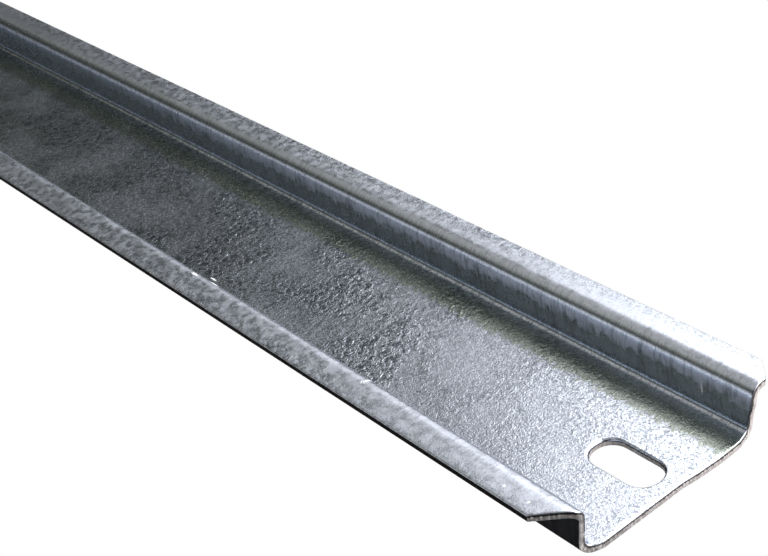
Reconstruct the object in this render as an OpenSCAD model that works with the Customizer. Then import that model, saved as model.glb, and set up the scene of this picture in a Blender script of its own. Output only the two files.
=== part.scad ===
// Top-hat mounting rail of 35 x 7.5 mm section, cut to length and slotted at both ends.
// It is one strip of zinc-plated steel, roll formed into a shallow channel with a lip on each side.
// The rail runs along X and lies on the underside of its floor, which is at Z = 0.
// The origin is the middle of that underside, the front lip is at -Y and the back lip at +Y.

/* [Rail] */
// Length of the rail from cut end to cut end
rail_length = 300; // [80:1:1000]
// Thickness of the steel strip, the same in the floor, the walls and the lips
sheet = 1; // [0.8:0.1:1.2]

/* [Section] */
// Width over the outer edges of the two lips
rail_width = 35; // [33:0.5:38]
// Height from the underside of the floor to the top of the lips
rail_height = 7.5; // [6:0.5:15]
// Width over the outer faces of the two side walls
channel_width = 27; // [24:0.5:28]
// Inner radius of the bend from the floor up into a side wall
floor_bend = 0.8; // [0.4:0.1:1.5]
// Inner radius of the bend from a side wall out into its lip
lip_bend = 1; // [0.3:0.1:1.2]

/* [Mounting slots] */
// Width of each mounting slot, across the rail
slot_width = 5; // [4:0.1:6.5]
// Length of each mounting slot, from round end to round end
slot_length = 10; // [7:0.5:16]
// Steel left between a mounting slot and the cut end of the rail
slot_end_gap = 2.8; // [1.5:0.1:12]

/* [Lip corners] */
// Length and depth of the 45 degree cut across each corner of the front lip
front_corner_cut = 3.9; // [0.5:0.1:4]
// Length and depth of the 45 degree cut across each corner of the back lip
back_corner_cut = 2.4; // [0.5:0.1:4]

/* [Hidden] */

$fn = 64;

// How far a cutting shape runs past the steel that it cuts
overrun = 1;

// Outer radii of the two bends, one sheet outside the inner radii
floor_bend_outer = floor_bend + sheet;
lip_bend_outer = lip_bend + sheet;

// Distances from the middle of the section to the outer face of a wall and to the edge of a lip
wall_outer = channel_width / 2;
lip_edge = rail_width / 2;

// Centres of the two bends of the side at +Y, as [across, up]
floor_bend_centre = [wall_outer - floor_bend_outer, floor_bend_outer];
lip_bend_centre = [wall_outer + lip_bend, rail_height - lip_bend_outer];

// Distance along the rail from its middle to the centre of each mounting slot
slot_centre = rail_length / 2 - slot_end_gap - slot_length / 2;

// Quarter of a bent strip: the ring of one sheet's thickness round the origin, in one quadrant
module bend_quarter(inner_radius, across_sign, up_sign) {
    outer_radius = inner_radius + sheet;
    intersection() {
        difference() {
            circle(r = outer_radius);
            circle(r = inner_radius);
        }
        translate([across_sign < 0 ? -outer_radius : 0, up_sign < 0 ? -outer_radius : 0])
            square(outer_radius);
    }
}

// One half of the section, from the middle of the floor to the edge of the lip at +Y
module half_section() {
    square([floor_bend_centre[0], sheet]);
    translate(floor_bend_centre)
        bend_quarter(floor_bend, 1, -1);
    translate([wall_outer - sheet, floor_bend_centre[1]])
        square([sheet, lip_bend_centre[1] - floor_bend_centre[1]]);
    translate(lip_bend_centre)
        bend_quarter(lip_bend, -1, 1);
    translate([lip_bend_centre[0], rail_height - sheet])
        square([lip_edge - lip_bend_centre[0], sheet]);
}

// The whole top-hat section, with Y drawn across and Z drawn up
module section() {
    half_section();
    mirror([1, 0])
        half_section();
}

// Cutter for one mounting slot: two round ends joined by straight sides, through the floor
module slot_cutter() {
    depth = sheet + 2 * overrun;
    straight = slot_length - slot_width;
    for (end_sign = [-1, 1])
        translate([end_sign * straight / 2, 0, -overrun])
            cylinder(d = slot_width, h = depth);
    translate([-straight / 2, -slot_width / 2, -overrun])
        cube([straight, slot_width, depth]);
}

// Cutter for the corner of the lip at +X and +Y: a triangle that takes `cut` off each edge
module corner_cutter(cut) {
    reach = cut + overrun;
    translate([rail_length / 2, lip_edge, rail_height - sheet - lip_bend - overrun])
        linear_extrude(height = sheet + lip_bend + 2 * overrun)
            polygon([[-reach, overrun], [overrun, -reach], [overrun, overrun]]);
}

// The rail: the formed strip, its two mounting slots and its four cut lip corners
module rail() {
    color("lightslategray")
        difference() {
            rotate([90, 0, 90])
                linear_extrude(height = rail_length, center = true)
                    section();
            for (end_sign = [-1, 1])
                translate([end_sign * slot_centre, 0, 0])
                    slot_cutter();
            for (end_mirror = [0, 1])
                mirror([end_mirror, 0, 0]) {
                    corner_cutter(back_corner_cut);
                    mirror([0, 1, 0])
                        corner_cutter(front_corner_cut);
                }
        }
}

rail();
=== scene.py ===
"""Top-hat mounting rail: the dressed model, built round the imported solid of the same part.

The rail is one zinc-coated steel strip, roll formed into a shallow channel with a lip along each
side, sheared to length and slotted at both ends.  It runs along X and lies on the underside of its
floor, at Z = 0.  The near lip is at -Y and the far lip at +Y.  Sizes are in metres where nothing
else is said.
"""

import logging
import math
from collections.abc import Callable
from dataclasses import dataclass, field
from enum import Enum

import bpy
import numpy as np
from mathutils import Matrix, Vector


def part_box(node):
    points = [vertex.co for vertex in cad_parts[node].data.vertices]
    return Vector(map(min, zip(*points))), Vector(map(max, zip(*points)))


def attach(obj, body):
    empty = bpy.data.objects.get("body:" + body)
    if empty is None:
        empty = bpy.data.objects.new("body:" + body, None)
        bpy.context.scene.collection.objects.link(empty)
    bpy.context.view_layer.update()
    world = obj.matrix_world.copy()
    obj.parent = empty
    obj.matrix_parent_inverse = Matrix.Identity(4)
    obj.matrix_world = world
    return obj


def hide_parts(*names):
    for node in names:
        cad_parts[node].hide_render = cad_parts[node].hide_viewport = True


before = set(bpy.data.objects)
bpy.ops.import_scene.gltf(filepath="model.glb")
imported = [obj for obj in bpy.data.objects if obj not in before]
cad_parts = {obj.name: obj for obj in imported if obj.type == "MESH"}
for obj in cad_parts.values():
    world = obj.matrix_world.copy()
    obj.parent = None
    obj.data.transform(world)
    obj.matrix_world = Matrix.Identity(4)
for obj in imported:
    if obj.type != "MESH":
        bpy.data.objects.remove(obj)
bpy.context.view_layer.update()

LOG = logging.getLogger("rail")

MM = 0.001
RAIL_NODE = "rail"
RAIL_BODY = "root"
SLOT_INSET = 7.8 * MM
# A colour mix node's inputs for its two colours, and the output for their blend.
MIX_COLOURS = (6, 7, 2)

Triple = tuple[float, float, float]
Span = tuple[float, float]
Socket = bpy.types.NodeSocket
Source = Socket | float | tuple[float, ...]
Coat = tuple[Socket, Source, Source, Socket]


def in_mm(*sizes: float) -> tuple[float, ...]:
    """Turns sizes in millimetres into metres."""
    return tuple(size * MM for size in sizes)


class Skin(Enum):
    """The finishes that a face of the rail may carry, in the order of its material slots."""

    ZINC = 0
    SHEARED = 1
    SLIT = 2


class Mark(Enum):
    """Names of the values that the rail's mesh carries for its finishes."""

    DRAWN = "drawn"
    LIP = "lip"
    DEPTH = "cut_depth"


# ---- shader building


@dataclass
class NodeSheet:
    """A material's or a world's node tree, with one short method for each kind of node used."""

    tree: bpy.types.NodeTree

    def add(
        self, kind: str, inputs: dict[str | int, Source] | None = None, **settings: object
    ) -> bpy.types.Node:
        """Adds a node.

        Args:
            kind: The node's type name.
            inputs: What feeds its inputs, by name or number.
            settings: Attributes to set on the node.

        Returns:
            The new node.
        """
        node = self.tree.nodes.new(kind)
        for name, value in settings.items():
            setattr(node, name, value)
        for name, source in (inputs or {}).items():
            self.feed(node.inputs[name], source)
        return node

    def feed(self, socket: Socket, source: Source) -> None:
        """Sets a socket from another node's output, or from a plain number or tuple.

        Args:
            socket: The input to set.
            source: An output socket, or the value itself.
        """
        if isinstance(source, Socket):
            self.tree.links.new(source, socket)
        else:
            socket.default_value = source

    def place(self) -> Socket:
        """Returns the point being shaded, in the rail's own frame."""
        return self.add("ShaderNodeTexCoord").outputs["Object"]

    def mark(self, mark: Mark) -> Socket:
        """Returns one of the values that the mesh carries."""
        return self.add("ShaderNodeAttribute", attribute_name=mark.value).outputs["Fac"]

    def axes(self, point: Socket) -> tuple[Socket, ...]:
        """Returns a point's X, Y and Z."""
        return tuple(self.add("ShaderNodeSeparateXYZ", {"Vector": point}).outputs)

    def stretched(self, point: Socket, scale: Triple) -> Socket:
        """Scales a point by a factor along each axis."""
        return self.add("ShaderNodeMapping", {"Vector": point, "Scale": scale}).outputs["Vector"]

    def noise(
        self, point: Socket, scale: float, detail: float = 2.0, rough: float = 0.5, warp: float = 0.0
    ) -> Socket:
        """Adds fractal noise.

        Args:
            point: Where it is read.
            scale: Cells for each unit of length.
            detail: Number of octaves.
            rough: How strong each next octave is.
            warp: How far the noise distorts itself.

        Returns:
            The noise value, from 0 to 1.
        """
        inputs = {"Vector": point, "Scale": scale, "Detail": detail, "Roughness": rough, "Distortion": warp}
        return self.add("ShaderNodeTexNoise", inputs, noise_dimensions="3D").outputs["Fac"]

    def span(
        self, value: Source, low: float, high: float, to_low: float = 0.0, to_high: float = 1.0
    ) -> Socket:
        """Maps a value from one range to another, eased at both ends and held beyond them.

        Args:
            value: The value to map.
            low: Start of its range.
            high: End of its range.
            to_low: Result at low.
            to_high: Result at high.

        Returns:
            The mapped value.
        """
        inputs = {"Value": value, "From Min": low, "From Max": high, "To Min": to_low, "To Max": to_high}
        return self.add("ShaderNodeMapRange", inputs, interpolation_type="SMOOTHSTEP").outputs["Result"]

    def calc(self, kind: str, first: Source, second: Source = 0.0) -> Socket:
        """Adds a node that reckons with one or two numbers.

        Args:
            kind: What it does, such as MULTIPLY, MAXIMUM or ARCTAN2.
            first: First number or socket.
            second: Second number or socket.

        Returns:
            The result.
        """
        return self.add("ShaderNodeMath", {0: first, 1: second}, operation=kind).outputs[0]

    def times(self, first: Source, second: Source) -> Socket:
        """Multiplies two numbers."""
        return self.calc("MULTIPLY", first, second)

    def plus(self, first: Source, second: Source) -> Socket:
        """Adds two numbers."""
        return self.calc("ADD", first, second)

    def dot(self, way: Socket, axis: Triple) -> Socket:
        """Measures a direction along an axis of length 1."""
        return self.add("ShaderNodeVectorMath", {0: way, 1: axis}, operation="DOT_PRODUCT").outputs["Value"]

    def blend(self, share: Source, first: Source, second: Source) -> Socket:
        """Blends two colours.

        Args:
            share: How much of the second shows, from 0 to 1.
            first: First colour or socket.
            second: Second colour or socket.

        Returns:
            The blended colour.
        """
        first, second = ((*c, 1.0) if isinstance(c, tuple) else c for c in (first, second))
        low, high, result = MIX_COLOURS
        node = self.add("ShaderNodeMix", {"Factor": share, low: first, high: second}, data_type="RGBA")
        return node.outputs[result]

    def bump(self, height: Source, depth: float, under: Socket | None = None) -> Socket:
        """Turns a height into a bent normal.

        Args:
            height: The height, from 0 to 1.
            depth: What a height of 1 measures.
            under: An earlier bump that this one lies on.

        Returns:
            The normal.
        """
        inputs = {"Height": height, "Distance": depth}
        if under is not None:
            inputs["Normal"] = under
        return self.add("ShaderNodeBump", inputs).outputs["Normal"]


def new_material(name: str) -> tuple[bpy.types.Material, NodeSheet, Socket]:
    """Makes a material with no nodes but its output.

    Args:
        name: The material's name.

    Returns:
        The material, its node sheet and the output's surface socket.
    """
    material = bpy.data.materials.new(name)
    material.use_nodes = True
    material.node_tree.nodes.clear()
    sheet = NodeSheet(material.node_tree)
    return material, sheet, sheet.add("ShaderNodeOutputMaterial").inputs["Surface"]


# ---- finishes


@dataclass(frozen=True)
class Blemish:
    """A small scraped spot: the zinc is pushed aside and shines."""

    centre: Triple
    half_size: Triple

    def share(self, sheet: NodeSheet, point: Socket, ragged: Socket) -> Socket:
        """Gives how much of the scrape shows at a point.

        Args:
            sheet: The node sheet of the finish.
            point: The point being shaded.
            ragged: A noise that makes its outline uneven.

        Returns:
            The share, from 0 to 1.
        """
        inputs = {"Vector": point, "Location": self.centre, "Scale": self.half_size}
        place = sheet.add("ShaderNodeMapping", inputs, vector_type="TEXTURE").outputs["Vector"]
        far = sheet.add("ShaderNodeVectorMath", {0: place}, operation="LENGTH")
        uneven = sheet.plus(far.outputs["Value"], sheet.span(ragged, 0.3, 0.7, -0.5, 0.5))
        return sheet.span(uneven, 0.7, 1.1, 1.0, 0.0)


@dataclass(frozen=True)
class Finish:
    """A finish of the rail: a material with one shader, which each kind of finish feeds."""

    name: str

    def coat(self, sheet: NodeSheet) -> Coat:
        """Makes what the shader shows.

        Args:
            sheet: The material's node sheet.

        Returns:
            Its colour, share of metal, roughness and normal.
        """
        raise NotImplementedError

    def build(self) -> bpy.types.Material:
        """Builds the material.

        Returns:
            The material.
        """
        material, sheet, surface = new_material(self.name)
        shader = sheet.add("ShaderNodeBsdfPrincipled")
        sheet.feed(surface, shader.outputs["BSDF"])
        for name, source in zip(("Base Color", "Metallic", "Roughness", "Normal"), self.coat(sheet)):
            sheet.feed(shader.inputs[name], source)
        return material


@dataclass(frozen=True)
class ZincSkin(Finish):
    """Satin zinc on rolled steel.

    The floor has an orange-peel grain with pits and, beside the far bend, a darker olive band
    that is a painted reflection of the far wall.  The walls are painted a darker, bluer slate as
    painted shade, with drawn streaks and a frosted band at the top that is rougher and keeps the
    lighter zinc colour as a painted highlight, and the lips are duller and clouded.
    """

    name: str = "zinc_skin"
    pit: Triple = (0.20, 0.22, 0.26)
    body: Triple = (0.61, 0.645, 0.725)
    glint: Triple = (0.93, 0.94, 0.96)
    # Painted shade: the walls' darker, bluer slate stands in for the dim bluish light they reflect.
    painted_wall_shade: Triple = (0.42, 0.49, 0.57)
    # Painted reflection: a darker olive band on the floor that stands in for the far wall's reflection.
    painted_wall_reflection: Triple = (0.29, 0.32, 0.27)
    peel_cells: float = 1250.0
    grain_cells: float = 4700.0
    pit_cells: float = 3525.0
    patch_cells: float = 75.0
    cloud_cells: float = 820.0
    streak_cells: Triple = (2100.0, 260.0, 260.0)
    floor_roughness: float = 0.17
    wall_roughness: float = 0.26
    lip_roughness: float = 0.30
    frost_roughness: float = 0.34
    pit_roughness: float = 0.25
    scrape_roughness: float = 0.6
    wall_metal: float = 0.88
    peel_depth: float = 0.090 * MM
    grain_depth: float = 0.022 * MM
    streak_depth: float = 0.045 * MM
    smooth_run: Span = in_mm(100.0, 132.0)
    crisp_run: Span = in_mm(-60.0, 60.0)
    # The frosted band at the top of the walls: rougher, and a painted highlight in its lighter colour.
    frost_highlight_run: Span = in_mm(-20.0, 110.0)
    frost_highlight_rise: Span = in_mm(4.1, 5.4)
    frost_highlight_streaks: Span = in_mm(-0.2, 0.2)
    frost_highlight_clouds: Span = in_mm(-0.6, 0.6)
    # Where the painted reflection of the far wall lies on the floor, across the rail.
    wall_reflection_starts: Span = in_mm(7.2, 7.9)
    wall_reflection_ends: Span = in_mm(10.0, 11.4)
    wall_reflection_edge: Span = in_mm(-0.7, 0.7)
    wall_reflection_share: float = 0.85
    blemishes: tuple[Blemish, ...] = ()

    def coat(self, sheet: NodeSheet) -> Coat:
        """Makes what the shader shows, on the zinc's own kind of sheet."""
        return ZincSheet(sheet.tree, self).coat()


@dataclass
class ZincSheet(NodeSheet):
    """The zinc's nodes: places, zones and noises, and the colour, gloss and relief made from them."""

    skin: ZincSkin

    def __post_init__(self) -> None:
        """Reads the places and zones, adds the noises and works out what several parts share."""
        skin = self.skin
        self.point = self.place()
        self.lip = self.mark(Mark.LIP)
        self.drawn = self.mark(Mark.DRAWN)
        self.along, self.aside, self.up = self.axes(self.point)
        self.on_floor = self.span(self.drawn, 0.0, 0.3, 1.0, 0.0)
        self.on_lip = self.span(self.lip, 0.35, 0.75)
        wall = self.times(self.span(self.drawn, 0.3, 0.9), self.span(self.lip, 0.0, 0.25, 1.0, 0.0))
        inside = self.span(self.mark(Mark.DEPTH), 0.0, 0.5, 1.0, 0.0)
        self.on_wall = self.times(wall, inside)
        self.patch = self.noise(self.point, skin.patch_cells, 3.0, 0.6, 0.3)
        self.peel = self.noise(self.point, skin.peel_cells, 3.0, 0.62, 0.5)
        self.grain = self.noise(self.point, skin.grain_cells, 2.0, 0.6)
        self.cloud = self.noise(self.point, skin.cloud_cells, 4.0, 0.62, 0.5)
        self.streak = self.noise(self.stretched(self.point, skin.streak_cells), 1.0, 4.0, 0.65, 0.5)
        self.crisp = self.span(self.along, *skin.crisp_run, 0.30, 1.0)
        self.coarse = self.find_coarse()
        self.pitted = self.find_pits()
        # The frosted band: rougher, and left lighter in colour as a painted highlight.
        self.frost_and_painted_highlight = self.find_frost_and_painted_highlight()

    def find_coarse(self) -> Socket:
        """Finds where the orange peel is coarse: in patches on the floor, less near the +X end.

        Returns:
            Its strength.
        """
        coarse = self.times(self.span(self.along, *self.skin.smooth_run, 1.0, 0.34),
                            self.span(self.patch, 0.40, 0.60, 1.15, 0.45))
        return self.times(coarse, self.span(self.drawn, 0.0, 1.0, 1.0, 0.12))

    def find_pits(self) -> Socket:
        """Finds the pits, which crowd the floor and fleck the lips.

        Returns:
            How deep a point lies in a pit, from 0 to 1.
        """
        flecks = self.times(self.on_lip, self.span(self.cloud, 0.40, 0.58, 0.45, 0.12))
        crowd = self.calc("MAXIMUM", self.span(self.drawn, 0.0, 1.0, 0.78, 0.03), flecks)
        pits = self.noise(self.point, self.skin.pit_cells, 1.0, 0.5)
        return self.times(self.span(pits, 0.33, 0.50, 1.0, 0.0), self.times(crowd, self.crisp))

    def find_frost_and_painted_highlight(self) -> Socket:
        """Finds the frosted band at the top of the walls: rougher, and keeping the lighter zinc colour as a
        painted highlight; ragged below and fading towards -X.

        Returns:
            Its share, from 0 to 1.
        """
        skin = self.skin
        height = self.plus(self.up, self.span(self.streak, 0.35, 0.65, *skin.frost_highlight_streaks))
        height = self.plus(height, self.span(self.cloud, 0.35, 0.65, *skin.frost_highlight_clouds))
        frost_and_painted_highlight = self.times(self.on_wall, self.span(height, *skin.frost_highlight_rise))
        return self.times(frost_and_painted_highlight, self.span(self.along, *skin.frost_highlight_run, 0.1, 1.0))

    def find_painted_wall_reflection(self) -> Socket:
        """Finds the darker olive band on the floor beside the far bend, a painted reflection of the far
        wall.

        Returns:
            Its share, from 0 to 1.
        """
        skin = self.skin
        ragged = self.plus(self.aside, self.span(self.peel, 0.3, 0.7, *skin.wall_reflection_edge))
        band = self.times(self.span(ragged, *skin.wall_reflection_starts),
                          self.span(self.aside, *skin.wall_reflection_ends, 1.0, 0.30))
        return self.times(self.times(band, self.on_floor), skin.wall_reflection_share)

    def colour(self) -> Socket:
        """Mixes the colour, from the plain zinc to the pits that lie on top.

        Returns:
            The colour.
        """
        skin = self.skin
        grainy = self.times(self.span(self.grain, 0.30, 0.62, 0.45, 0.0),
                            self.times(self.crisp, self.span(self.drawn, 0.0, 1.0, 1.0, 0.30)))
        flecked = self.times(self.span(self.peel, 0.40, 0.54, 0.88, 0.0), self.coarse)
        rubbed = self.times(self.span(self.streak, 0.36, 0.54, 0.60, 0.0),
                            self.times(self.drawn, self.span(self.lip, 0.1, 0.5, 1.0, 0.35)))
        colour = self.blend(grainy, skin.body, skin.pit)
        # Painted shade: the walls take the darker slate colour, except in the frosted band at the top,
        # which keeps the lighter zinc colour as a painted highlight.
        colour = self.blend(self.calc("SUBTRACT", self.on_wall, self.frost_and_painted_highlight), colour, skin.painted_wall_shade)
        for share in (flecked, rubbed, self.pitted):
            colour = self.blend(share, colour, skin.pit)
        # Painted reflection: the darker olive band beside the far wall.
        return self.blend(self.find_painted_wall_reflection(), colour, skin.painted_wall_reflection)

    def roughness(self) -> Socket:
        """Works out the roughness.

        Returns:
            The roughness.
        """
        skin = self.skin
        level = self.span(self.drawn, 0.0, 1.0, skin.floor_roughness, skin.wall_roughness)
        level = self.plus(level, self.times(self.frost_and_painted_highlight, skin.frost_roughness))
        clouds = self.times(self.span(self.cloud, 0.35, 0.65, -0.06, 0.10), self.crisp)
        dull = self.plus(clouds, skin.lip_roughness)
        level = self.calc("MAXIMUM", level, self.times(self.on_lip, dull))
        patches = self.times(self.span(self.patch, 0.35, 0.65, -0.05, 0.06), self.on_floor)
        return self.plus(self.plus(level, patches), self.times(self.pitted, skin.pit_roughness))

    def normal(self) -> Socket:
        """Lays the relief: orange peel, fine grain on it, and streaks where the sheet is drawn.

        Returns:
            The normal.
        """
        skin = self.skin
        fine = self.times(self.times(self.grain, self.crisp), self.span(self.drawn, 0.0, 1.0, 1.0, 0.15))
        lined = self.times(self.drawn, self.span(self.lip, 0.3, 0.9, 1.0, 0.35))
        normal = self.bump(self.times(self.peel, self.coarse), skin.peel_depth)
        normal = self.bump(fine, skin.grain_depth, normal)
        return self.bump(self.times(self.streak, lined), skin.streak_depth, normal)

    def coat(self) -> Coat:
        """Puts it all together, with the scraped spots on top.

        Returns:
            Its colour, share of metal, roughness and normal.
        """
        skin = self.skin
        colour, roughness = self.colour(), self.roughness()
        for blemish in skin.blemishes:
            share = blemish.share(self, self.point, self.grain)
            colour = self.blend(share, colour, skin.glint)
            roughness = self.calc("MAXIMUM", roughness, self.times(share, skin.scrape_roughness))
        return colour, self.span(self.on_wall, 0.0, 1.0, 1.0, skin.wall_metal), roughness, self.normal()


@dataclass(frozen=True)
class SlitEdge(Finish):
    """The slit edge that runs along each lip: dark, rolled smooth and faintly lined."""

    name: str = "slit_edge"
    steel: Triple = (0.34, 0.33, 0.33)
    line: Triple = (0.46, 0.45, 0.46)
    line_cells: Triple = (300.0, 2500.0, 5200.0)
    line_depth: float = 0.01 * MM
    roughness: float = 0.24

    def coat(self, sheet: NodeSheet) -> Coat:
        """Makes what the shader shows.

        Args:
            sheet: The material's node sheet.

        Returns:
            Its colour, share of metal, roughness and normal.
        """
        lines = sheet.noise(sheet.stretched(sheet.place(), self.line_cells), 1.0, 3.0, 0.6)
        colour = sheet.blend(sheet.span(lines, 0.35, 0.65), self.steel, self.line)
        return colour, 1.0, self.roughness, sheet.bump(lines, self.line_depth)


@dataclass(frozen=True)
class ShearedSteel(Finish):
    """A sheared edge: a burnished land at the top, then a torn, dull, pale brown lower part.

    The torn part is painted darker towards the near side, as dark as the land there: painted shade for cut
    faces turned away from the light.
    """

    name: str = "sheared_steel"
    land: Triple = (0.26, 0.25, 0.25)
    torn: Triple = (0.66, 0.60, 0.58)
    dusty: Triple = (0.92, 0.91, 0.90)
    tear_cells: Triple = (3000.0, 3000.0, 900.0)
    tear_depth: float = 0.05 * MM
    tear_starts: Span = (0.34, 0.44)
    # Painted shade: the torn part darkens towards the near side, where the cut faces are turned away from
    # the light.
    painted_shade_run: Span = in_mm(-12.5, 6.0)
    painted_shade_share: float = 0.75
    dust_share: float = 0.7
    torn_metal: float = 0.35
    land_roughness: float = 0.30
    torn_roughness: float = 0.75

    def coat(self, sheet: NodeSheet) -> Coat:
        """Makes what the shader shows.

        Args:
            sheet: The material's node sheet.

        Returns:
            Its colour, share of metal, roughness and normal.
        """
        point = sheet.place()
        tear = sheet.noise(sheet.stretched(point, self.tear_cells), 1.0, 3.0, 0.6)
        edge = sheet.plus(sheet.mark(Mark.DEPTH), sheet.span(tear, 0.3, 0.7, -0.10, 0.10))
        torn = sheet.span(edge, *self.tear_starts)
        # Painted shade, darker towards the near side.
        painted_shade = sheet.span(sheet.axes(point)[1], *self.painted_shade_run, self.painted_shade_share, 0.0)
        dusty = sheet.times(torn, sheet.span(tear, 0.45, 0.65, 0.0, self.dust_share))
        colour = sheet.blend(torn, self.land, sheet.blend(painted_shade, self.torn, self.land))
        metal = sheet.span(torn, 0.0, 1.0, 1.0, self.torn_metal)
        roughness = sheet.span(torn, 0.0, 1.0, self.land_roughness, self.torn_roughness)
        return sheet.blend(dusty, colour, self.dusty), metal, roughness, sheet.bump(tear, self.tear_depth)


@dataclass(frozen=True)
class PaleFloor:
    """The plain pale floor: an even white that throws no shade and shows only from above."""

    name: str = "pale_floor"
    white: Triple = (1.0, 1.0, 1.0)

    def build(self) -> bpy.types.Material:
        """Builds the material.

        Returns:
            The material.
        """
        material, sheet, surface = new_material(self.name)
        glow = sheet.add("ShaderNodeEmission", {"Color": (*self.white, 1.0)}).outputs["Emission"]
        clear = sheet.add("ShaderNodeBsdfTransparent").outputs["BSDF"]
        below = sheet.add("ShaderNodeNewGeometry").outputs["Backfacing"]
        mix = sheet.add("ShaderNodeMixShader", {"Fac": below, 1: glow, 2: clear})
        sheet.feed(surface, mix.outputs["Shader"])
        return material


# ---- shape of the strip


@dataclass(frozen=True)
class StripSection:
    """Cross-section of the formed strip, as the same number of lines on each of its faces."""

    width: float
    height: float
    channel: float = 27.0 * MM
    sheet: float = 1.0 * MM
    floor_bend: float = 0.8 * MM
    lip_bend: float = 1.0 * MM
    floor_cells: int = 12
    floor_bend_cells: int = 9
    wall_cells: int = 6
    lip_bend_cells: int = 12
    lip_cells: int = 6

    def half(self, depth: float, inset: float) -> np.ndarray:
        """Gives the lines of the half at +Y, from the middle of the floor to the lip's edge.

        Args:
            depth: 0 on the channel's side, 1 on the underside.
            inset: How far the last line stays inside the lip's edge.

        Returns:
            One row of (across, up) for each line.
        """
        outer = self.floor_bend + self.sheet
        foot = self.channel / 2 - outer
        crown = self.channel / 2 + self.lip_bend
        crown_height = self.height - self.lip_bend - self.sheet
        level = self.sheet * (1.0 - depth)
        bend = np.linspace(0.0, math.pi / 2, self.floor_bend_cells + 1)[1:]
        roll = np.linspace(0.0, math.pi / 2, self.lip_bend_cells + 1)[1:]
        across = np.concatenate([
            np.linspace(0.0, foot, self.floor_cells + 1),
            foot + (outer - level) * np.sin(bend),
            np.full(self.wall_cells, self.channel / 2 - level),
            crown - (self.lip_bend + level) * np.cos(roll),
            np.linspace(crown, self.width / 2 - inset, self.lip_cells + 1)[1:],
        ])
        up = np.concatenate([
            np.full(self.floor_cells + 1, level),
            outer - (outer - level) * np.cos(bend),
            np.linspace(outer, crown_height, self.wall_cells + 1)[1:],
            crown_height + (self.lip_bend + level) * np.sin(roll),
            np.full(self.lip_cells, self.height - self.sheet + level),
        ])
        return np.column_stack([across, up])

    def lines(self, depth: float, inset: float) -> np.ndarray:
        """Gives all the lines, from the near lip's edge to the far lip's edge.

        Args:
            depth: 0 on the channel's side, 1 on the underside.
            inset: How far the outermost lines stay inside the lips' edges.

        Returns:
            One row of (across, up) for each line.
        """
        far = self.half(depth, inset)
        near = far[:0:-1] * np.array([-1.0, 1.0])
        return np.vstack([near, far])

    def stations(self) -> np.ndarray:
        """Measures the lines' places along the channel's side of the strip.

        Returns:
            How far each line is from the middle, near side negative.
        """
        steps = np.linalg.norm(np.diff(self.half(0.0, 0.0), axis=0), axis=1)
        far = np.concatenate([[0.0], np.cumsum(steps)])
        return np.concatenate([-far[:0:-1], far])

    def shares(self) -> tuple[np.ndarray, np.ndarray]:
        """Tells the lines' zones apart.

        Returns:
            For each line, how far it is drawn by a bend and how far it is on a lip, from 0 to 1.
        """
        floor = self.floor_cells + 1
        rise = np.linspace(0.0, 1.0, self.floor_bend_cells + 1)[1:]
        drawn = np.concatenate([np.zeros(floor), rise, np.ones(self.wall_cells + self.lip_bend_cells),
                                np.linspace(0.8, 0.2, self.lip_cells)])
        onto = np.linspace(0.0, 1.0, self.lip_bend_cells + 1)[1:]
        lip = np.concatenate([np.zeros(floor + self.floor_bend_cells + self.wall_cells), onto,
                              np.ones(self.lip_cells)])
        return np.concatenate([drawn[:0:-1], drawn]), np.concatenate([lip[:0:-1], lip])


@dataclass(frozen=True)
class CornerCut:
    """A straight cut across the corner of a lip."""

    starts: float
    rake: float = 1.0

    def limit(self, across: np.ndarray, reach: float, inset: float) -> np.ndarray:
        """Gives how far along the rail the cut lets each line of the lip run.

        Args:
            across: Distance of each line from the middle of the rail.
            reach: Where the rail's end meets the cut.
            inset: How far to stay inside the cut.

        Returns:
            The furthest place along the rail, for each line.
        """
        return reach - self.rake * (across - self.starts) - inset * math.hypot(1.0, self.rake)


@dataclass(frozen=True)
class CutEnd:
    """One sheared end of the rail, with its two corner cuts and the places where it is held back."""

    reach: float
    near: CornerCut
    far: CornerCut
    held_back: tuple[Span, ...] = ((0.0, 0.0),)

    def limit(self, stations: np.ndarray, across: np.ndarray, inset: float) -> np.ndarray:
        """Gives how far along the rail each line runs.

        Args:
            stations: How far each line is from the middle along the strip, near side negative.
            across: Place of each line across the rail, near lip negative.
            inset: How far to stay inside the sheared edge.

        Returns:
            The furthest distance from the rail's middle, for each line.
        """
        places, setbacks = zip(*self.held_back)
        end = self.reach - np.interp(stations, places, setbacks)
        near = self.near.limit(-across, self.reach - setbacks[0], inset)
        far = self.far.limit(across, self.reach - setbacks[-1], inset)
        return np.minimum(end - inset, np.minimum(near, far))


@dataclass(frozen=True)
class EdgeStep:
    """One line of a sheared edge: how far inside the cut it lies and how deep in the strip."""

    inset: float
    depth: float
    skin: Skin


def edge_steps(zinc: tuple[Span, ...], sheared: tuple[Span, ...]) -> tuple[EdgeStep, ...]:
    """Makes the lines of a sheared edge, from the channel's side of the strip down.

    Args:
        zinc: Inset in mm and depth of each line where the zinc is rolled over.
        sheared: The same for each line of the sheared face.

    Returns:
        The lines.
    """
    rolled = (EdgeStep(inset * MM, depth, Skin.ZINC) for inset, depth in zinc)
    cut = (EdgeStep(inset * MM, depth, Skin.SHEARED) for inset, depth in sheared)
    return (*rolled, *cut)


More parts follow.
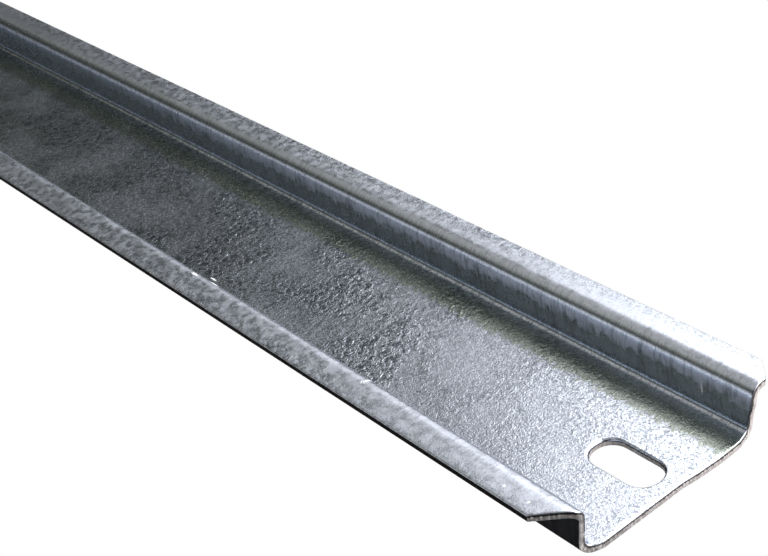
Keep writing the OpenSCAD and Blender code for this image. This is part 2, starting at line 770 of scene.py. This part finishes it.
@dataclass(frozen=True)
class MountingSlot:
    """A slot punched through the floor for a screw, with the rolled-over rim that the punch leaves."""

    centre: float
    length: float = 10.0 * MM
    width: float = 5.0 * MM
    margin: float = 1.3 * MM
    least_roll: float = 0.40
    rings: int = 7

    def outline(self, points: np.ndarray, offset: float) -> np.ndarray:
        """Gives the points of the slot's outline that lie nearest to other points round it.

        Args:
            points: One row of (along, across) for each point round the slot.
            offset: How far outside the slot the outline lies.

        Returns:
            One row of (along, across) for each point of the outline.
        """
        half = (self.length - self.width) / 2
        spine = np.column_stack([
            np.clip(points[:, 0], self.centre - half, self.centre + half), np.zeros(len(points))
        ])
        away = points - spine
        away /= np.linalg.norm(away, axis=1)[:, None]
        inward = np.clip(-away[:, 0] * math.copysign(1.0, self.centre), 0.0, 1.0)
        roll = offset * (self.least_roll + (1.0 - self.least_roll) * inward)
        return spine + away * (self.width / 2 + roll)[:, None]


@dataclass
class SkinMesh:
    """Points, faces and marks of a mesh while it is being built."""

    points: list[np.ndarray] = field(default_factory=list)
    marks: dict[Mark, list[np.ndarray]] = field(default_factory=lambda: {m: [] for m in Mark})
    faces: list[list[int]] = field(default_factory=list)
    skins: list[int] = field(default_factory=list)
    count: int = 0
    sharp_angle: float = math.radians(38.0)

    def add_points(
        self, points: np.ndarray, drawn: np.ndarray | float, lip: np.ndarray | float, depth: float
    ) -> np.ndarray:
        """Adds points.

        Args:
            points: Places, in an array whose last axis is X, Y, Z.
            drawn: How far each is drawn by a bend.
            lip: How far each is on a lip.
            depth: How deep in the strip they are.

        Returns:
            Their numbers, in an array of the same shape without that last axis.
        """
        shape = points.shape[:-1]
        number = np.arange(self.count, self.count + int(np.prod(shape))).reshape(shape)
        self.count += number.size
        self.points.append(points.reshape(-1, 3))
        for mark, value in ((Mark.DRAWN, drawn), (Mark.LIP, lip), (Mark.DEPTH, depth)):
            self.marks[mark].append(np.broadcast_to(value, shape).astype(np.float32).ravel())
        return number

    def add_face(self, corners: list[int], skin: Skin) -> None:
        """Adds one face of four corners."""
        self.faces.append(corners)
        self.skins.append(skin.value)

    def add_band(
        self, upper: np.ndarray, lower: np.ndarray, skin: Skin, flip: bool = False,
        slit: frozenset[int] = frozenset(),
    ) -> None:
        """Joins two closed loops of the same length.

        Args:
            upper: Numbers of the points of one loop.
            lower: Numbers of the points of the other.
            skin: The finish of the faces between them.
            flip: True where the faces look the other way.
            slit: Steps of the loops where a sheared face is a slit edge instead.
        """
        faces = np.column_stack([lower, np.roll(lower, -1), np.roll(upper, -1), upper]).tolist()
        for step, face in enumerate(faces):
            worn = Skin.SLIT if skin is Skin.SHEARED and step in slit else skin
            self.add_face(face[::-1] if flip else face, worn)

    def finish(self, name: str, move: Callable[[np.ndarray], np.ndarray]) -> bpy.types.Object:
        """Makes the object.

        Args:
            name: The object's name.
            move: Function that takes all the points and returns them moved.

        Returns:
            The new object, linked to the scene.
        """
        mesh = bpy.data.meshes.new(name)
        used, corners = np.unique(np.array(self.faces), return_inverse=True)
        places = move(np.vstack(self.points)[used])
        mesh.from_pydata(places.tolist(), [], corners.reshape(-1, 4).tolist())
        mesh.polygons.foreach_set("material_index", self.skins)
        mesh.polygons.foreach_set("use_smooth", [True] * len(self.faces))
        for mark, values in self.marks.items():
            attribute = mesh.attributes.new(mark.value, "FLOAT", "POINT")
            attribute.data.foreach_set("value", np.concatenate(values)[used])
        mesh.set_sharp_from_angle(angle=self.sharp_angle)
        mesh.validate()
        mesh.update()
        thing = bpy.data.objects.new(name, mesh)
        bpy.context.scene.collection.objects.link(thing)
        return thing


# ---- the rail


@dataclass(frozen=True)
class FormingWaves:
    """The faint waves that roll forming leaves in the strip, and the droop of its lips.

    How far they move it is in metres, and where they lie is in mm.
    """

    section: StripSection
    floor: float = 0.035 * MM
    wall: float = 0.05 * MM
    lip: float = 0.015 * MM
    near_droop: float = 0.14 * MM
    far_droop: float = 0.035 * MM
    wavy_floor: float = 11.0
    slot_starts: float = 133.0
    slot_fade: float = 6.0

    def move(self, points: np.ndarray) -> np.ndarray:
        """Moves the strip's points.

        Args:
            points: Places of all the points.

        Returns:
            The places, moved by less than 0.16 mm and never outside the rail's box.
        """
        moved = points.copy()
        along, across, up = (points[:, axis] / MM for axis in range(3))
        far = across > 0
        sway = np.where(far, 1.7, 0.4)
        crown = (self.section.channel / 2 + self.section.lip_bend) / MM
        on_lip = np.clip((np.abs(across) - crown) / (self.section.width / 2 / MM - crown), 0.0, 1.0)
        dip = 0.5 + 0.25 * np.sin(along / 9.7 + sway) + 0.25 * np.sin(along / 23.0 + 2.1 * sway)
        droop = np.where(far, self.far_droop, self.near_droop) * on_lip * (0.35 + 0.65 * on_lip)
        moved[:, 2] -= self.lip * on_lip * dip + droop
        belly = np.sin(np.clip((up - 1.8) / 4.2, 0.0, 1.0) * math.pi) * (np.abs(across) > 12.0)
        swell = np.sin(along / 13.0 + sway) + 0.6 * np.sin(along / 5.9 + 1.3 + sway)
        moved[:, 1] += np.sign(across) * self.wall * belly * swell * 0.5
        middle = np.clip(1.0 - np.abs(across) / self.wavy_floor, 0.0, 1.0) * (up < 1.2)
        ends = np.clip((self.slot_starts - np.abs(along)) / self.slot_fade, 0.0, 1.0)
        heave = 1.0 + np.sin(along / 17.0 + across / 5.0) * np.cos(along / 31.0 - across / 7.0)
        moved[:, 2] += self.floor * middle * ends * heave * 0.5
        return moved


@dataclass(frozen=True)
class SlotWindow:
    """A slot, with the first and last row and column of the grid round it."""

    slot: MountingSlot
    rows: tuple[int, int]
    cols: tuple[int, int]


@dataclass(frozen=True)
class Layer:
    """One side of the strip: its points' numbers in the mesh, and their places."""

    numbers: np.ndarray
    places: np.ndarray


@dataclass
class TopHatRail:
    """The whole rail: one formed strip with its sheared edges, slots and corner cuts."""

    section: StripSection
    right: CutEnd
    left: CutEnd
    slots: tuple[MountingSlot, ...]
    edge: tuple[EdgeStep, ...]
    rim: tuple[EdgeStep, ...]
    fine_reach: float = 16.0 * MM
    fine_step: float = 0.5 * MM
    coarse_step: float = 1.0 * MM
    ring_ease: float = 1.5

    def columns(self) -> np.ndarray:
        """Divides the rail's length, finely towards its ends.

        Returns:
            The places along the rail where its lines are divided.
        """
        reach = self.right.reach
        middle = reach - self.fine_reach
        inner = np.arange(0.0, middle - self.fine_step, self.coarse_step)
        outer = np.linspace(middle, reach, round(self.fine_reach / self.fine_step) + 1)
        half = np.concatenate([inner, outer])
        return np.concatenate([-half[:0:-1], half])

    def sheet_points(self, depth: float, inset: float) -> np.ndarray:
        """Gives the grid of points of one layer of the strip.

        Args:
            depth: 0 on the channel's side, 1 on the underside.
            inset: How far the layer stays inside the sheared edges.

        Returns:
            Points in an array of lines across by places along by X, Y, Z.
        """
        across, up = self.section.lines(depth, inset).T
        stations = self.section.stations()
        right, left = (end.limit(stations, across, inset)[:, None] for end in (self.right, self.left))
        base = self.columns()
        start = self.right.reach - self.fine_reach
        share = np.clip((np.abs(base) - start) / self.fine_reach, 0.0, 1.0)
        along = np.where(base > start, start + share * (right - start), base)
        along = np.where(base < -start, -start - share * (left - start), along)
        return np.dstack(np.broadcast_arrays(along, across[:, None], up[:, None]))

    def loop(self, grid: np.ndarray, rows: tuple[int, int], cols: tuple[int, int]) -> np.ndarray:
        """Walks round a rectangle of a grid, anticlockwise seen from above.

        Args:
            grid: The grid to read.
            rows: First and last row of the rectangle.
            cols: First and last column of the rectangle.

        Returns:
            What the grid holds at each step of the walk.
        """
        r0, r1 = rows
        c0, c1 = cols
        return np.concatenate([
            grid[r0, c0:c1 + 1],
            grid[r0 + 1:r1 + 1, c1],
            grid[r1, c0:c1][::-1],
            grid[r0 + 1:r1, c0][::-1],
        ])

    def windows(self) -> list[SlotWindow]:
        """Frames the slots.

        Returns:
            Each slot with its place in the grid.
        """
        across = self.section.lines(0.0, 0.0)[:, 0]
        along = self.columns()
        found = []
        for slot in self.slots:
            rows = np.flatnonzero(np.abs(across) <= slot.width / 2 + slot.margin)
            cols = np.flatnonzero(np.abs(along - slot.centre) <= slot.length / 2 + slot.margin)
            found.append(SlotWindow(slot, (rows[0], rows[-1]), (cols[0], cols[-1])))
        return found

    def add_layer(self, mesh: SkinMesh, depth: float, inset: float) -> Layer:
        """Adds the grid of one side of the strip, left open where the slots are.

        Args:
            mesh: The mesh to add to.
            depth: 0 for the channel's side, 1 for the underside.
            inset: How far it stays inside the sheared edges.

        Returns:
            The side's points.
        """
        drawn, lip = (share[:, None] for share in self.section.shares())
        places = self.sheet_points(depth, inset)
        grid = mesh.add_points(places, drawn, lip, depth)
        shown = np.ones((grid.shape[0] - 1, grid.shape[1] - 1), bool)
        for window in self.windows():
            shown[slice(*window.rows), slice(*window.cols)] = False
        corners = np.dstack([grid[:-1, :-1], grid[:-1, 1:], grid[1:, 1:], grid[1:, :-1]])[shown]
        for face in (corners if depth < 0.5 else corners[:, ::-1]).tolist():
            mesh.add_face(face, Skin.ZINC)
        return Layer(grid, places)

    def add_outer_edge(self, mesh: SkinMesh, top: np.ndarray, under: np.ndarray) -> None:
        """Adds the sheared edge all round the strip.

        Args:
            mesh: The mesh to add to.
            top: Numbers of the points on the channel's side.
            under: Numbers of the points on the underside.
        """
        whole = ((0, top.shape[0] - 1), (0, top.shape[1] - 1))
        drawn, lip = (np.broadcast_to(share[:, None], top.shape) for share in self.section.shares())
        length, width = top.shape[1] - 1, top.shape[0] - 1
        slit = frozenset((*range(length), *range(length + width, 2 * length + width)))
        upper = self.loop(top, *whole)
        for step in self.edge[1:-1]:
            ring = self.loop(self.sheet_points(step.depth, step.inset), *whole)
            lower = mesh.add_points(ring, self.loop(drawn, *whole), self.loop(lip, *whole), step.depth)
            mesh.add_band(upper, lower, step.skin, slit=slit)
            upper = lower
        mesh.add_band(upper, self.loop(under, *whole), self.edge[-1].skin, slit=slit)

    def add_ring(self, mesh: SkinMesh, flat: np.ndarray, depth: float) -> np.ndarray:
        """Adds a ring of points round a slot.

        Args:
            mesh: The mesh to add to.
            flat: One row of (along, across) for each point.
            depth: How deep in the floor they are, from 0 to 1.

        Returns:
            Their numbers.
        """
        height = np.full(len(flat), self.section.sheet * (1.0 - depth))
        return mesh.add_points(np.column_stack([flat, height]), 0.0, 0.0, depth)

    def add_slot(self, mesh: SkinMesh, window: SlotWindow, layers: tuple[Layer, Layer]) -> None:
        """Adds a slot: the floor round it on both sides, its rolled rim and its inner wall.

        Args:
            mesh: The mesh to add to.
            window: The slot and its place in the grid.
            layers: The channel's side, then the underside.
        """
        slot = window.slot
        sides = []
        for layer, step in zip(layers, (self.rim[0], self.rim[-1])):
            outer = self.loop(layer.numbers, window.rows, window.cols)
            guide = self.loop(layer.places, window.rows, window.cols)[:, :2]
            inner = slot.outline(guide, step.inset)
            for k in range(1, slot.rings + 1):
                share = 1.0 - (1.0 - k / slot.rings) ** self.ring_ease
                ring = self.add_ring(mesh, guide * (1.0 - share) + inner * share, step.depth)
                mesh.add_band(ring, outer, Skin.ZINC, flip=step.depth > 0.5)
                outer = ring
            sides.append((outer, guide))
        (upper, guide), (lowest, _) = sides
        for step in self.rim[1:-1]:
            ring = self.add_ring(mesh, slot.outline(guide, step.inset), step.depth)
            mesh.add_band(ring, upper, step.skin)
            upper = ring
        mesh.add_band(lowest, upper, self.rim[-1].skin)

    def build(self, name: str, skins: dict[Skin, bpy.types.Material]) -> bpy.types.Object:
        """Builds the rail and gives it its finishes.

        Args:
            name: The piece's name.
            skins: The material of each finish.

        Returns:
            The finished piece.
        """
        mesh = SkinMesh()
        first, last = self.edge[0], self.edge[-1]
        top = self.add_layer(mesh, first.depth, first.inset)
        under = self.add_layer(mesh, last.depth, last.inset)
        self.add_outer_edge(mesh, top.numbers, under.numbers)
        for window in self.windows():
            self.add_slot(mesh, window, (top, under))
        piece = mesh.finish(name, FormingWaves(self.section).move)
        for skin in Skin:
            piece.data.materials.append(skins[skin])
        return piece


# ---- studio


@dataclass(frozen=True)
class SoftPanel:
    """A soft-edged sheet of light on the studio's tent, all angles in degrees seen from the rail.

    Bearing 0 is +X and 90 is +Y.  The panel reaches `half_width` each way from its bearing, or all
    round at 180, and fades out over `fade_right` (towards smaller bearings) and `fade_left`.
    """

    bearing: float
    half_width: float
    low: float
    high: float
    strength: float
    colour: Triple = (1.0, 1.0, 1.0)
    fade_right: float = 10.0
    fade_left: float = 10.0
    fade_low: float = 10.0
    fade_high: float = 10.0

    def light(self, sheet: NodeSheet, way: Socket, rise: Socket) -> Socket:
        """Gives the panel's light in a direction.

        Args:
            sheet: The world's node sheet.
            way: The direction.
            rise: Its elevation in degrees.

        Returns:
            The light's colour.
        """
        share = sheet.times(sheet.span(rise, self.low - self.fade_low, self.low),
                            sheet.span(rise, self.high, self.high + self.fade_high, 1.0, 0.0))
        if self.half_width < 180.0:
            turn = math.radians(self.bearing)
            ahead = sheet.dot(way, (math.cos(turn), math.sin(turn), 0.0))
            aside = sheet.dot(way, (-math.sin(turn), math.cos(turn), 0.0))
            side = sheet.times(sheet.calc("ARCTAN2", aside, ahead), math.degrees(1.0))
            right = sheet.span(side, -self.half_width - self.fade_right, -self.half_width)
            left = sheet.span(side, self.half_width, self.half_width + self.fade_left, 1.0, 0.0)
            share = sheet.times(share, sheet.times(right, left))
        inputs = {0: self.colour, "Scale": sheet.times(share, self.strength)}
        return sheet.add("ShaderNodeVectorMath", inputs, operation="SCALE").outputs[0]


@dataclass(frozen=True)
class StudioTent:
    """Plain soft light from all round: broad panels on a dim tent."""

    panels: tuple[SoftPanel, ...]
    base: Triple = (0.011, 0.010, 0.010)

    def build(self) -> None:
        """Makes the scene's world."""
        world = bpy.data.worlds.new("studio_tent")
        world.use_nodes = True
        world.node_tree.nodes.clear()
        sheet = NodeSheet(world.node_tree)
        way = sheet.add("ShaderNodeTexCoord").outputs["Generated"]
        upward = sheet.dot(way, (0.0, 0.0, 1.0))
        rise = sheet.times(sheet.calc("ARCSINE", upward), math.degrees(1.0))
        total = self.base
        for panel in self.panels:
            inputs = {0: total, 1: panel.light(sheet, way, rise)}
            total = sheet.add("ShaderNodeVectorMath", inputs, operation="ADD").outputs[0]
        background = sheet.add("ShaderNodeBackground", {"Color": total}).outputs["Background"]
        sheet.add("ShaderNodeOutputWorld", {"Surface": background})
        bpy.context.scene.world = world


@dataclass(frozen=True)
class StudioFloor:
    """The wide pale floor that the rail lies on, which neither lights it nor shows in it."""

    half: float = 6.0
    drop: float = 0.05 * MM

    def build(self, skin: bpy.types.Material) -> bpy.types.Object:
        """Makes the floor.

        Args:
            skin: Its material.

        Returns:
            The floor.
        """
        mesh = bpy.data.meshes.new("studio_floor")
        signs = ((-1, -1), (1, -1), (1, 1), (-1, 1))
        corners = [(x * self.half, y * self.half, 0.0) for x, y in signs]
        mesh.from_pydata(corners, [], [(0, 1, 2, 3)])
        mesh.materials.append(skin)
        floor = bpy.data.objects.new("studio_floor", mesh)
        floor.location.z = -self.drop
        bpy.context.scene.collection.objects.link(floor)
        floor.visible_glossy = False
        floor.visible_diffuse = False
        floor.visible_shadow = False
        return floor


@dataclass(frozen=True)
class ViewCamera:
    """The camera, by where it stands and which way it looks."""

    place: Triple
    bearing: float
    elevation: float
    roll: float
    lens: float
    sensor: float = 36.0
    clip: Span = (0.01, 30.0)

    def build(self) -> bpy.types.Object:
        """Makes the camera.

        Returns:
            The camera.
        """
        turn, rise = math.radians(self.bearing), math.radians(self.elevation)
        back = Vector((math.sin(turn) * math.cos(rise), -math.cos(turn) * math.cos(rise), math.sin(rise)))
        right = Vector((0.0, 0.0, 1.0)).cross(back).normalized()
        axes = Matrix((right, back.cross(right), back)).transposed()
        spin = Matrix.Rotation(math.radians(self.roll), 3, "Z")
        data = bpy.data.cameras.new("view_camera")
        data.lens = self.lens
        data.sensor_width = self.sensor
        data.clip_start, data.clip_end = self.clip
        camera = bpy.data.objects.new("view_camera", data)
        camera.matrix_world = Matrix.Translation(self.place) @ (axes @ spin).to_4x4()
        bpy.context.scene.collection.objects.link(camera)
        bpy.context.scene.camera = camera
        return camera


# ---- making it all


# Where the +X cut is held back: distance from the middle along the strip, and setback, in mm.
SETBACKS = (
    (-22.7, 0.93), (-17.6, 0.91), (-16.3, 1.19), (-15.0, 1.35), (-13.8, 1.60), (-12.4, 1.70),
    (-11.2, 0.90), (1.5, 0.75), (4.0, 0.45), (7.0, 0.28), (10.5, 0.30), (12.4, 0.85), (13.2, 0.80),
    (14.5, 0.55), (15.5, 0.22), (16.4, 0.0), (22.7, 0.0),
)

# The scraped spots, by centre and half size.
SCRAPES = (
    Blemish(in_mm(113.3, -13.4, 7.1), in_mm(0.22, 1.0, 0.8)),
    Blemish(in_mm(75.0, -13.7, 7.3), in_mm(0.7, 0.25, 0.5)),
    Blemish(in_mm(79.0, -13.2, 7.0), in_mm(1.1, 0.16, 0.5)),
    Blemish(in_mm(69.0, -8.4, 1.0), in_mm(0.8, 0.16, 0.5)),
    Blemish(in_mm(140.2, -15.9, 7.4), in_mm(0.22, 0.20, 0.5)),
    Blemish(in_mm(144.1, -16.0, 7.4), in_mm(0.18, 0.22, 0.5)),
    Blemish(in_mm(142.6, 12.5, 3.9), in_mm(0.12, 0.3, 0.9)),
)

# The lights: bearing, half width, lowest, highest and strength of each come first.
PANELS = (
    SoftPanel(62.0, 52.0, 6.0, 62.0, 3.2, (1.0, 0.99, 1.0), fade_right=25.0, fade_low=15.0),
    SoftPanel(100.0, 34.2, 38.0, 60.0, 2.3, fade_right=30.0, fade_left=4.5, fade_low=3.0),
    SoftPanel(95.0, 41.0, 9.0, 60.0, 0.98, (0.99, 0.99, 1.0), fade_right=30.0, fade_low=14.0),
    SoftPanel(120.0, 28.5, 39.0, 50.0, 0.50, (0.96, 0.98, 1.0), fade_left=3.0, fade_low=11.0),
    SoftPanel(145.0, 12.0, 14.0, 34.0, 0.04, (0.90, 0.96, 1.0), fade_left=12.0),
    SoftPanel(30.0, 30.0, -50.0, -10.0, 0.35, (1.0, 0.96, 0.95), 20.0, 20.0, 15.0, 15.0),
    SoftPanel(0.0, 180.0, 52.0, 95.0, 0.50, (1.0, 0.99, 0.97), fade_low=14.0),
    SoftPanel(200.0, 32.0, 36.0, 46.0, 0.30, (1.0, 1.0, 0.87), 7.0, 18.0, fade_low=7.0),
    SoftPanel(190.0, 60.0, 20.0, 40.0, 0.040, (0.90, 1.02, 0.76), fade_low=12.0),
    SoftPanel(256.0, 26.0, -8.0, 7.0, 1.20, (0.94, 0.98, 1.0), 24.0, 25.0, 12.0, 11.0),
)


def make_rail() -> bpy.types.Object:
    """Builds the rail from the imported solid's box.

    Returns:
        The piece.
    """
    low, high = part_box(RAIL_NODE)
    reach = high.x
    slot_centre = reach - SLOT_INSET
    section = StripSection(width=high.y - low.y, height=high.z)
    right = CutEnd(
        reach=reach,
        near=CornerCut(starts=13.75 * MM),
        far=CornerCut(starts=15.15 * MM, rake=1.1),
        held_back=tuple(in_mm(*pair) for pair in SETBACKS),
    )
    left = CutEnd(reach=reach, near=CornerCut(13.6 * MM), far=CornerCut(15.1 * MM))
    rail = TopHatRail(
        section=section,
        right=right,
        left=left,
        slots=(MountingSlot(slot_centre), MountingSlot(-slot_centre)),
        edge=edge_steps(
            zinc=((0.26, 0.0), (0.15, 0.012), (0.07, 0.05), (0.02, 0.12)),
            sheared=((0.0, 0.22), (0.0, 0.45), (0.012, 0.52), (0.03, 0.93), (0.05, 0.985), (0.09, 1.0)),
        ),
        rim=edge_steps(
            zinc=((0.55, 0.0), (0.40, 0.012), (0.26, 0.045), (0.14, 0.10), (0.06, 0.18), (0.015, 0.28)),
            sheared=((0.0, 0.38), (0.0, 0.60), (0.02, 0.66), (0.04, 0.96), (0.08, 1.0)),
        ),
    )
    piece = rail.build("rail_strip", {
        Skin.ZINC: ZincSkin(blemishes=SCRAPES).build(),
        Skin.SHEARED: ShearedSteel().build(),
        Skin.SLIT: SlitEdge().build(),
    })
    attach(piece, RAIL_BODY)
    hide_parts(RAIL_NODE)
    return piece


def main() -> None:
    """Builds the rail, the studio and the camera, and reports each."""
    logging.basicConfig(level=logging.INFO, format="%(message)s")
    bpy.context.scene.view_settings.view_transform = "Standard"
    piece = make_rail()
    LOG.info("%s: %d points, %d faces", piece.name, len(piece.data.vertices), len(piece.data.polygons))
    studio_floor = StudioFloor()
    floor = studio_floor.build(PaleFloor().build())
    LOG.info("%s: half width %.1f m", floor.name, studio_floor.half)
    StudioTent(PANELS).build()
    LOG.info("studio tent: %d panels", len(PANELS))
    camera = ViewCamera(
        place=in_mm(244.03, -91.18, 119.49),
        bearing=57.58, elevation=32.93, roll=-12.19, lens=73.67,
    ).build()
    LOG.info("%s: %.2f mm lens", camera.name, camera.data.lens)


if __name__ == "__main__":
    main()
